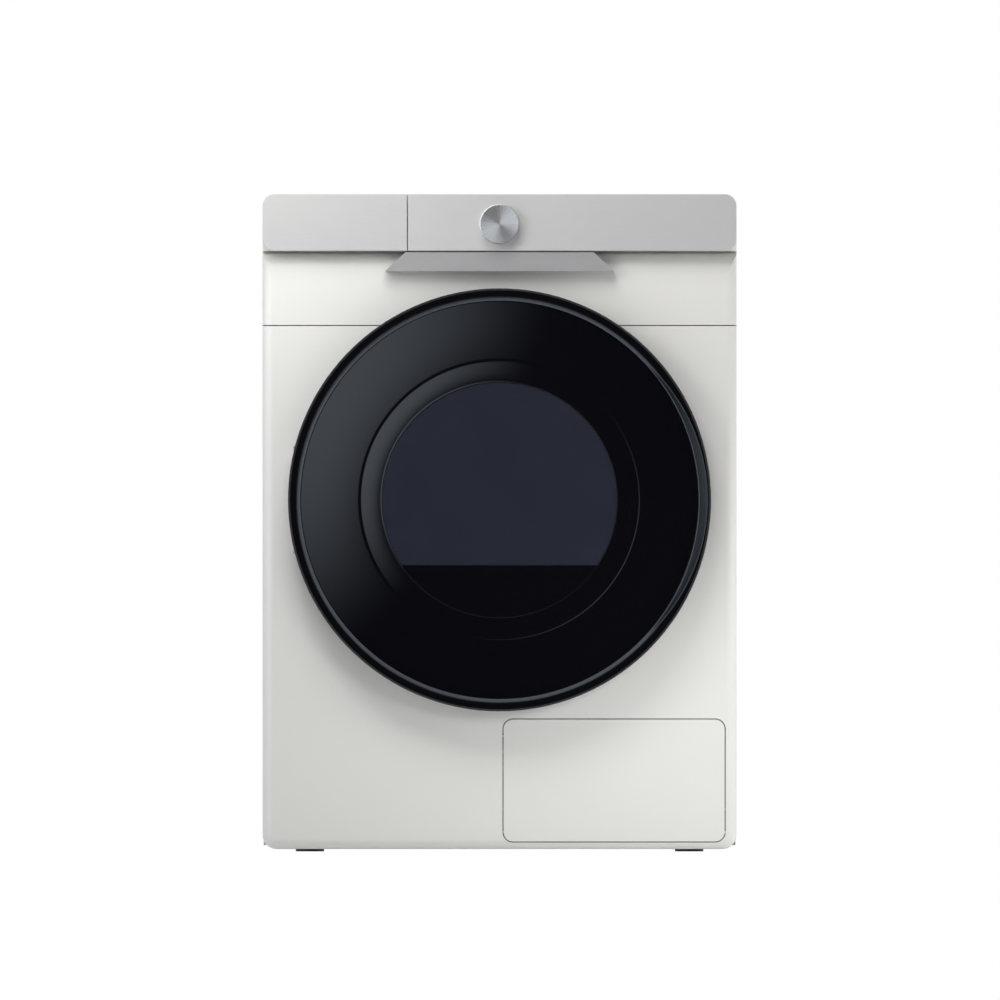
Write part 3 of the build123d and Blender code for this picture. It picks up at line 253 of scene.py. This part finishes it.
def turned_metal():
    """Knob metal brushed in circles, with stretched glints from its grooves and painted glints: base colour
    lighter and darker in rays round the axis.
    """
    material, shader = new_material("knob_metal", (0.98, 0.91, 0.86), roughness=0.28, metallic=0.9)
    distance, angle = round_the_axis(material)
    groove_width = 0.25 * MM
    grooves = noise_along(material, distance, scale=1.0 / groove_width, detail=2.0)
    add_bump(material, shader, grooves, height=0.004 * MM)
    # Painted glints: the base colour turns lighter and darker in thin rays round the axis, standing in for
    # the glints of the brushing.
    painted_glint_rays = noise_along(material, angle, scale=9.0, detail=4.0)
    vary_colour(material, shader, painted_glint_rays, amount=0.10)
    stretch_glints_round(material, shader, strength=0.85, rotation=0.08)
    return material


def gloss_black():
    """Polished black moulding with faint haze."""
    material, shader = new_material("gloss_black", (0.0018, 0.0018, 0.0028), roughness=0.07)
    vary_roughness(material, shader, noise(material, 30 * MM), amount=0.012)
    vary_colour(material, shader, noise(material, 1.5 * MM), amount=0.10)
    add_bump(material, shader, noise(material, 25 * MM, detail=1.0), height=0.002 * MM)
    return material


def tinted_pane():
    """Dark blue-grey see-through pane."""
    material, shader = new_material("tinted_pane", (0.036, 0.042, 0.064), roughness=0.04)
    shader.inputs["Transmission Weight"].default_value = 0.45
    shader.inputs["IOR"].default_value = 1.5
    vary_roughness(material, shader, noise(material, 20 * MM), amount=0.01)
    vary_colour(material, shader, noise(material, 60 * MM), amount=0.06)
    return material


def clear_bowl():
    """Moulded glass with slow waves in its surface."""
    material, shader = new_material("clear_bowl", (0.90, 0.93, 0.94), roughness=0.03)
    shader.inputs["Transmission Weight"].default_value = 1.0
    shader.inputs["IOR"].default_value = 1.5
    add_bump(material, shader, noise(material, 15 * MM, detail=1.0), height=0.01 * MM)
    vary_roughness(material, shader, noise(material, 10 * MM), amount=0.01)
    return material


def moulded_plastic(name, colour, roughness, grain=0.6 * MM):
    """Injection moulding with a spark-eroded surface of the given grain."""
    material, shader = new_material(name, colour, roughness)
    add_bump(material, shader, noise(material, grain), height=0.02 * MM)
    vary_colour(material, shader, noise(material, 8 * MM), amount=0.04)
    vary_roughness(material, shader, noise(material, 3 * MM), amount=0.05)
    return material


def rubber(name, colour):
    """Matt rubber, slightly uneven in colour."""
    material, shader = new_material(name, colour, roughness=0.62)
    add_bump(material, shader, noise(material, 0.9 * MM), height=0.03 * MM)
    vary_colour(material, shader, noise(material, 5 * MM), amount=0.12)
    vary_roughness(material, shader, noise(material, 12 * MM), amount=0.08)
    return material


def sheet_metal(name, colour, roughness, stretch=(1, 1, 0.04)):
    """Rolled or brushed metal, its lines running along the axis that stretch makes small."""
    material, shader = new_material(name, colour, roughness, metallic=1.0)
    lines = noise(material, 0.5 * MM, stretch, detail=2.0)
    add_bump(material, shader, lines, height=0.006 * MM)
    vary_colour(material, shader, noise(material, 18 * MM), amount=0.06)
    vary_roughness(material, shader, lines, amount=0.05)
    return material


def zinc_sheet():
    """Galvanised sheet with its crystal spangle."""
    material, shader = new_material("galvanised_sheet", (0.60, 0.61, 0.62), roughness=0.38, metallic=0.9)
    nodes, links = material.node_tree.nodes, material.node_tree.links
    crystal = 5 * MM
    spangle = nodes.new("ShaderNodeTexVoronoi")
    spangle.inputs["Scale"].default_value = 1.0 / crystal
    links.new(stretched_coordinates(material), spangle.inputs["Vector"])
    split = nodes.new("ShaderNodeSeparateColor")
    links.new(spangle.outputs["Color"], split.inputs["Color"])
    vary_colour(material, shader, split.outputs["Red"], amount=0.035)
    vary_roughness(material, shader, split.outputs["Green"], amount=0.05)
    add_bump(material, shader, noise(material, 3 * MM), height=0.008 * MM)
    return material


def drum_steel():
    """Stainless sheet, brushed along the drum's axis."""
    material, shader = new_material("drum_steel", (0.60, 0.60, 0.59), roughness=0.30, metallic=0.6)
    brushing = noise(material, 0.5 * MM, stretch=(1, 0.05, 1), detail=2.0)
    add_bump(material, shader, brushing, height=0.005 * MM)
    vary_roughness(material, shader, noise(material, 14 * MM), amount=0.02)
    vary_colour(material, shader, noise(material, 30 * MM), amount=0.015)
    return material


def felt():
    """Pressed wool with a coarse, fibrous surface."""
    material, shader = new_material("felt", (0.40, 0.385, 0.36), roughness=0.95)
    add_bump(material, shader, noise(material, 0.4 * MM, detail=6.0), height=0.25 * MM)
    vary_colour(material, shader, noise(material, 1.2 * MM), amount=0.2)
    return material


def circuit_board():
    """Green solder mask over faint copper tracks."""
    material, shader = new_material("circuit_board", (0.02, 0.16, 0.07), roughness=0.30)
    tracks = noise(material, 4 * MM, stretch=(1, 1, 0.2), detail=0.0)
    vary_colour(material, shader, tracks, amount=0.25)
    add_bump(material, shader, tracks, height=0.03 * MM)
    vary_roughness(material, shader, noise(material, 2 * MM), amount=0.06)
    return material


def milky_plastic():
    """Half-clear tank plastic."""
    material, shader = new_material("tank_plastic", (0.78, 0.81, 0.83), roughness=0.32)
    shader.inputs["Subsurface Weight"].default_value = 0.3
    shader.inputs["Subsurface Radius"].default_value = (6 * MM, 6 * MM, 7 * MM)
    add_bump(material, shader, noise(material, 1.0 * MM), height=0.015 * MM)
    vary_colour(material, shader, noise(material, 20 * MM), amount=0.03)
    return material


def weave():
    """Fine woven filter cloth: upright and level threads, crossed."""
    material, shader = new_material("filter_mesh", (0.50, 0.55, 0.58), roughness=0.75)
    nodes, links = material.node_tree.nodes, material.node_tree.links
    thread = 0.5 * MM
    crossed = nodes.new("ShaderNodeMath")
    crossed.operation = "MULTIPLY"
    for index, direction in enumerate(("X", "Z")):
        threads = nodes.new("ShaderNodeTexWave")
        threads.bands_direction = direction
        threads.inputs["Scale"].default_value = 2 * math.pi / (WAVE_RADIANS * thread)
        links.new(stretched_coordinates(material), threads.inputs["Vector"])
        links.new(threads.outputs["Fac"], crossed.inputs[index])
    add_bump(material, shader, crossed.outputs["Value"], height=0.15 * MM)
    vary_colour(material, shader, crossed.outputs["Value"], amount=0.3)
    return material


def all_materials():
    """One Blender material for each material slot of the record."""
    along_x, along_y, no_lines = (0.05, 1, 1), (1, 0.05, 1), (1, 1, 1)
    return {
        "white_enamel": white_enamel(),
        "galvanised_sheet": zinc_sheet(),
        "console_silver": brushed_silver("console_silver", (0.66, 0.65, 0.635), roughness=0.36),
        "chin_silver": brushed_silver("chin_silver", (0.45, 0.44, 0.437), roughness=0.34),
        "knob_metal": turned_metal(),
        "gloss_black": gloss_black(),
        "tinted_pane": tinted_pane(),
        "clear_bowl": clear_bowl(),
        "grip_grey": moulded_plastic("grip_grey", (0.070, 0.081, 0.094), 0.38, grain=0.5 * MM),
        "liner_grey": moulded_plastic("liner_grey", (0.42, 0.43, 0.44), 0.42),
        "black_plastic": moulded_plastic("black_plastic", (0.018, 0.018, 0.02), 0.45),
        "dark_tray": moulded_plastic("dark_tray", (0.05, 0.052, 0.055), 0.5, grain=0.9 * MM),
        "seal_rubber": rubber("seal_rubber", (0.055, 0.055, 0.058)),
        "belt_rubber": rubber("belt_rubber", (0.02, 0.02, 0.02)),
        "drum_steel": drum_steel(),
        "lifter_plastic": moulded_plastic("lifter_plastic", (0.45, 0.46, 0.48), 0.4),
        "felt": felt(),
        "bronze": sheet_metal("bronze", (0.55, 0.38, 0.18), 0.35, along_y),
        "copper": sheet_metal("copper", (0.72, 0.36, 0.20), 0.28, along_x),
        "fin_aluminium": sheet_metal("fin_aluminium", (0.75, 0.76, 0.77), 0.35),
        "compressor_black": moulded_plastic("compressor_black", (0.02, 0.02, 0.02), 0.3, grain=1.2 * MM),
        "motor_metal": sheet_metal("motor_metal", (0.42, 0.43, 0.44), 0.45, no_lines),
        "shaft_steel": sheet_metal("shaft_steel", (0.50, 0.50, 0.51), 0.3, along_y),
        "duct_plastic": moulded_plastic("duct_plastic", (0.09, 0.095, 0.10), 0.48, grain=0.8 * MM),
        "circuit_board": circuit_board(),
        "tank_plastic": milky_plastic(),
        "filter_plastic": moulded_plastic("filter_plastic", (0.14, 0.26, 0.36), 0.42),
        "screw_steel": sheet_metal("screw_steel", (0.58, 0.58, 0.59), 0.3, along_y),
    }


MATERIALS = all_materials()


def dress_cad_nodes():
    """Give every CAD node the material of its slot."""
    for part in frame["record"]["subparts"]:
        materials = NODES[part["node"]].data.materials
        material = MATERIALS[part["material_slot"]]
        if not materials:
            materials.append(material)
        for index in range(len(materials)):
            materials[index] = material


# ---------------------------------------------------------------- mesh kit
def mesh_piece(name, vertices, faces, body, slot, place=(0, 0, 0), sharp=35, material=None):
    """Make a mesh object that rides on a body, in its slot's material unless another one is given."""
    mesh = bpy.data.meshes.new(name)
    mesh.from_pydata(vertices, [], faces)
    mesh.validate()
    mesh.update()
    mesh.materials.append(material or MATERIALS[slot])
    mesh.shade_smooth()
    mesh.set_sharp_from_angle(angle=math.radians(sharp))
    piece = bpy.data.objects.new(name, mesh)
    piece.location = place
    bpy.context.scene.collection.objects.link(piece)
    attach(piece, body)
    return piece


def turned(outline, steps=TURN_STEPS):
    """Vertices and faces of a closed (radius, y) outline carried round the Y axis."""
    count = len(outline)
    vertices, faces = [], []
    for step in range(steps):
        angle = 2 * math.pi * step / steps
        here, following = step * count, (step + 1) % steps * count
        for index, (radius, y) in enumerate(outline):
            beside = (index + 1) % count
            vertices.append((radius * math.cos(angle), y, radius * math.sin(angle)))
            faces.append((here + index, following + index, following + beside, here + beside))
    return vertices, faces


# ---------------------------------------------------------------- door pieces
def easing_curve(start, end, bend, steps):
    """Points after start as far as end that follow a sine curve up to the angle bend and so level out."""
    points = []
    for step in range(1, steps + 1):
        share = step / steps
        rise = math.sin(share * bend) / math.sin(bend)
        radius = start[0] + (end[0] - start[0]) * share
        depth = start[1] + (end[1] - start[1]) * rise
        points.append((radius, depth))
    return points


def cover_outline():
    """The cover's closed outline, as (radius, depth behind its front)."""
    corner, back = 0.6 * MM, 14.2 * MM
    cone_edge = (COVER_RADIUS - corner, 11.0 * MM)
    cone_end = (STEP_RADIUS + 1.6 * MM, 2.8 * MM)
    groove_side = (STEP_RADIUS + 0.4 * MM, 2.9 * MM)
    groove = (STEP_RADIUS - 0.8 * MM, 3.05 * MM)
    mouth_corner = 0.4 * MM
    mouth_edge = (OPENING_RADIUS + 3 * mouth_corner, 0.2 * MM)
    outline = [(COVER_RADIUS, back), (COVER_RADIUS, cone_edge[1] + corner), cone_edge]
    outline += easing_curve(cone_edge, cone_end, math.radians(56.25), steps=48)
    outline += [groove_side, groove]
    outline += easing_curve(groove, mouth_edge, math.radians(75), steps=24)
    outline += [(OPENING_RADIUS + mouth_corner, 0.0), (OPENING_RADIUS, mouth_corner)]
    outline += [(OPENING_RADIUS, COVER_THICKNESS)]
    return outline


def door_cover():
    """Gloss cover: shallow cone, step and raised centre with the window's opening."""
    vertices, faces = turned([(radius, COVER_FRONT + depth) for radius, depth in cover_outline()])
    piece = mesh_piece("door_cover_shell", vertices, faces, "door", "gloss_black", DOOR_CENTRE)
    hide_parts("door_cover")


def arc_below(share, radius, flat):
    """Point on the arc below the flat line, share from 0 at the left to 1 at the right."""
    dip = math.asin(-flat / radius)
    start, end = math.pi + dip, 2 * math.pi - dip
    angle = start + (end - start) * share
    return radius * math.cos(angle), radius * math.sin(angle)


def door_cover_foot():
    """The part of the cover below the window's flat edge."""
    steps = 48
    front, back = COVER_FRONT + 0.3 * MM, COVER_FRONT + COVER_THICKNESS
    vertices, faces = [], []
    for step in range(steps + 1):
        x, z = arc_below(step / steps, OPENING_RADIUS, OPENING_FLAT)
        vertices += [(x, front, z), (x, back, z), (x, front, OPENING_FLAT), (x, back, OPENING_FLAT)]
    for step in range(steps):
        a, b = 4 * step, 4 * step + 4
        faces += [(a, b, b + 2, a + 2), (a + 1, a + 3, b + 3, b + 1)]
        faces += [(a + 2, b + 2, b + 3, a + 3), (a, a + 1, b + 1, b)]
    mesh_piece("door_cover_foot", vertices, faces, "door", "gloss_black", DOOR_CENTRE)


def reach_to_flat(angle, radius, flat):
    """Distance from the centre to the edge of a disc that is cut off along a flat line below."""
    down = -math.sin(angle)
    if down * radius > -flat:
        return -flat / down
    return radius


def door_window():
    """Flat pane with a rounded front edge, cut straight along its lower side."""
    rings, steps = 12, 192
    gap, edge_depth, edge_power = 0.25 * MM, 0.5 * MM, 8
    front, back = window_low.y, window_high.y
    angles = [2 * math.pi * step / steps for step in range(steps)]
    reaches = [reach_to_flat(angle, OPENING_RADIUS - gap, OPENING_FLAT + gap) for angle in angles]
    shares = [ring / rings for ring in range(1, rings + 1)]
    loops = [(share, front + edge_depth * share**edge_power) for share in shares]
    loops.append((1.0, back))
    vertices, faces = [(0, front, 0)], []
    for share, y in loops:
        for angle, reach in zip(angles, reaches):
            vertices.append((reach * share * math.cos(angle), y, reach * share * math.sin(angle)))
    vertices.append((0, back, 0))
    last = len(vertices) - 1
    for step in range(steps):
        beside = (step + 1) % steps
        faces.append((0, 1 + step, 1 + beside))
        for ring in range(rings):
            a = 1 + ring * steps
            faces.append((a + step, a + steps + step, a + steps + beside, a + beside))
        faces.append((last, 1 + rings * steps + beside, 1 + rings * steps + step))
    piece = mesh_piece("door_pane", vertices, faces, "door", "tinted_pane", DOOR_CENTRE)
    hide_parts("door_window")


# ---------------------------------------------------------------- knob, drum and filter pieces
def knob():
    """Knob with a very slightly dished face and a plain skirt that ends just clear of the fascia."""
    face, back = knob_low.y, knob_high.y
    skirt = FASCIA_FRONT - 0.6 * MM
    skirt_inside = KNOB_RADIUS - 2 * MM
    hollow_end = skirt - 8 * MM
    shaft_radius = 4 * MM
    outline = [
        (AXIS_GAP, face + 0.25 * MM),
        (0.5 * KNOB_RADIUS, face + 0.18 * MM),
        (KNOB_RADIUS - 1.6 * MM, face + 0.04 * MM),
        (KNOB_RADIUS - 0.7 * MM, face),
        (KNOB_RADIUS - 0.2 * MM, face + 0.2 * MM),
        (KNOB_RADIUS, face + 0.7 * MM),
        (KNOB_RADIUS, skirt - 0.4 * MM),
        (KNOB_RADIUS - 0.4 * MM, skirt),
        (skirt_inside, skirt),
        (skirt_inside, hollow_end),
        (shaft_radius, hollow_end),
        (shaft_radius, back),
        (AXIS_GAP, back),
    ]
    vertices, faces = turned(outline, KNOB_STEPS)
    piece = mesh_piece("knob_body", vertices, faces, "knob", "knob_metal", (0, 0, KNOB_Z))
    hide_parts("knob")


def drum_dimples():
    """Pressed dimples which stand in from the drum's wall, in rows staggered by half a step."""
    centre = ((drum_high.x + drum_low.x) / 2, 0, (drum_high.z + drum_low.z) / 2)
    sheet = 0.8 * MM
    wall = (drum_high.x - drum_low.x) / 2 - sheet
    # Each ring of a dimple as (radius, rise from the wall), and the rise of its top
    rings = ((5.0 * MM, 0.0), (3.2 * MM, 1.2 * MM))
    top_rise = 1.7 * MM
    rows, around, corners = 9, 42, 10
    first, last = drum_low.y + 50 * MM, drum_high.y - 25 * MM
    vertices, faces = [], []
    for row in range(rows):
        y = first + (last - first) * row / (rows - 1)
        for place in range(around):
            middle = 2 * math.pi * (place + 0.5 * (row % 2)) / around
            base = len(vertices)
            for radius, rise in rings:
                reach = wall - rise
                for corner in range(corners):
                    turn = 2 * math.pi * corner / corners
                    angle = middle + radius * math.cos(turn) / wall
                    along = y + radius * math.sin(turn)
                    vertices.append((reach * math.cos(angle), along, reach * math.sin(angle)))
            top = wall - top_rise
            vertices.append((top * math.cos(middle), y, top * math.sin(middle)))
            for corner in range(corners):
                beside = (corner + 1) % corners
                inner, inner_beside = base + corners + corner, base + corners + beside
                faces.append((base + corner, base + beside, inner_beside, inner))
                faces.append((inner, inner_beside, base + 2 * corners))
    mesh_piece("drum_dimples", vertices, faces, "drum", "drum_steel", centre, sharp=60)


def filter_mesh():
    """Pleated filter cloth, one panel inside each broad wall of the lint filter's box."""
    wall, sheet = 3 * MM, 0.4 * MM
    pleats, steps_per_pleat, pleat_depth = 20, 8, 1.6 * MM
    side_gap, wall_gap, cloth_top = 1 * MM, 0.4 * MM, filter_low.z + 147 * MM
    left, right = filter_low.x + wall + side_gap, filter_high.x - wall - side_gap
    front, rear = filter_low.y + wall + wall_gap, filter_high.y - wall - wall_gap
    bottom = filter_low.z + wall + side_gap
    columns = pleats * steps_per_pleat
    vertices, faces = [], []
    for start, inward in ((front, 1), (rear, -1)):
        base = len(vertices)
        for column in range(columns + 1):
            x = left + (right - left) * column / columns
            crest = pleat_depth * (0.5 - 0.5 * math.cos(2 * math.pi * column / steps_per_pleat))
            for depth in (crest, crest + sheet):
                y = start + inward * depth
                vertices += [(x, y, bottom), (x, y, cloth_top)]
        for column in range(columns):
            a, b = base + 4 * column, base + 4 * column + 4
            faces += [(a, b, b + 1, a + 1), (a + 2, a + 3, b + 3, b + 2)]
            faces += [(a, a + 2, b + 2, b), (a + 1, b + 1, b + 3, a + 3)]
        last = base + 4 * columns
        faces += [(base, base + 1, base + 3, base + 2), (last, last + 2, last + 3, last + 1)]
    mesh_piece("filter_cloth", vertices, faces, "lint_filter", "filter_plastic", sharp=60, material=weave())


# ---------------------------------------------------------------- stage, light and camera
def facing(tree, direction, reach):
    """0 to 1 as the world direction turns towards the given one, over a reach of cosines."""
    coordinates = tree.nodes.new("ShaderNodeTexCoord")
    towards = tree.nodes.new("ShaderNodeVectorMath")
    towards.operation = "DOT_PRODUCT"
    towards.inputs[1].default_value = direction
    tree.links.new(coordinates.outputs["Generated"], towards.inputs[0])
    share = tree.nodes.new("ShaderNodeMapRange")
    share.interpolation_type = "SMOOTHSTEP"
    share.inputs["From Min"].default_value, share.inputs["From Max"].default_value = reach
    tree.links.new(towards.outputs["Value"], share.inputs["Value"])
    return share.outputs["Result"]


def blended(tree, share, first, second):
    """Mix two colours, each a tuple or the output of another node."""
    mix = tree.nodes.new("ShaderNodeMix")
    mix.data_type = "RGBA"
    for socket, value in (("A", first), ("B", second)):
        if isinstance(value, tuple):
            mix.inputs[socket].default_value = (*value, 1.0)
        else:
            tree.links.new(value, mix.inputs[socket])
    tree.links.new(share, mix.inputs["Factor"])
    return mix.outputs["Result"]


def world_light():
    """A pale room with a dark front, in which the reflections also see one soft bright patch."""
    world = bpy.data.worlds.new("studio")
    world.use_nodes = True
    bpy.context.scene.world = world
    tree = world.node_tree
    tree.nodes.clear()
    front = (0.0, -1.0, 0.0)
    patch_off = math.sin(PATCH_ASIDE)
    patch = (patch_off * math.cos(PATCH_TURN), -math.cos(PATCH_ASIDE), patch_off * math.sin(PATCH_TURN))
    room = blended(tree, facing(tree, front, FRONT_LIGHT_REACH), SIDE_LIGHT, FRONT_LIGHT)
    mirrored = blended(tree, facing(tree, front, MIRRORED_FRONT_REACH), MIRRORED_SIDES, MIRRORED_FRONT)
    mirrored = blended(tree, facing(tree, patch, MIRRORED_PATCH_REACH), mirrored, MIRRORED_PATCH)
    path = tree.nodes.new("ShaderNodeLightPath")
    light = blended(tree, path.outputs["Is Glossy Ray"], room, mirrored)
    light = blended(tree, path.outputs["Is Camera Ray"], light, BACKDROP)
    background = tree.nodes.new("ShaderNodeBackground")
    tree.links.new(light, background.inputs["Color"])
    output = tree.nodes.new("ShaderNodeOutputWorld")
    tree.links.new(background.outputs["Background"], output.inputs["Surface"])


def soft_light(name, place, radius, power, aim=None, cone=60):
    """A soft lamp that the camera doesn't see; with an aim it becomes a spot whose edge fades away.

    The radius is in metres, the power in watts and the cone in degrees."""
    data = bpy.data.lights.new(name, "POINT" if aim is None else "SPOT")
    data.shadow_soft_size = radius
    data.energy = power
    light = bpy.data.objects.new(name, data)
    light.location = place
    if aim is not None:
        data.spot_size = math.radians(cone)
        data.spot_blend = 1.0
        light.rotation_euler = (Vector(aim) - Vector(place)).to_track_quat("-Z", "Y").to_euler()
    light.visible_camera = False
    light.visible_glossy = False
    bpy.context.scene.collection.objects.link(light)


def lamps():
    """The main lamp above the front, and three weaker ones that lift its shadows."""
    flap = (0.20, -0.28, 0.08)
    soft_light("key", place=(-0.15, -1.15, 1.6), radius=0.40, power=37.0)
    soft_light("near_left", place=(-0.40, -0.78, 0.95), radius=0.15, power=6.0)
    soft_light("low_fill", place=(0.40, -1.00, 0.35), radius=0.12, power=7.0, aim=flap, cone=72)
    soft_light("right_edge", place=(1.2, -0.60, 0.42), radius=0.20, power=8.0)


def floor():
    """Pale ground that the reflections don't see."""
    mesh = bpy.data.meshes.new("floor")
    half = 6.0
    corners = [(-half, -half, 0), (half, -half, 0), (half, half, 0), (-half, half, 0)]
    mesh.from_pydata(corners, [], [(0, 1, 2, 3)])
    material, shader = new_material("floor", (0.88, 0.88, 0.88), roughness=0.6)
    vary_colour(material, shader, noise(material, 0.4), amount=0.01)
    mesh.materials.append(material)
    ground = bpy.data.objects.new("floor", mesh)
    ground.visible_glossy = False
    bpy.context.scene.collection.objects.link(ground)


def camera():
    """Straight-on view without perspective, as the photograph was taken."""
    data = bpy.data.cameras.new("camera")
    data.type = "ORTHO"
    data.ortho_scale = VIEW_WIDTH
    data.clip_end = 50
    seen_from = bpy.data.objects.new("camera", data)
    seen_from.location = (VIEW_X, -VIEW_DISTANCE, VIEW_Z)
    seen_from.rotation_euler = (math.radians(90), 0, 0)
    bpy.context.scene.collection.objects.link(seen_from)
    bpy.context.scene.camera = seen_from


dress_cad_nodes()
door_cover()
door_cover_foot()
door_window()
knob()
drum_dimples()
filter_mesh()
world_light()
lamps()
floor()
camera()
bpy.context.scene.view_settings.view_transform = "Standard"
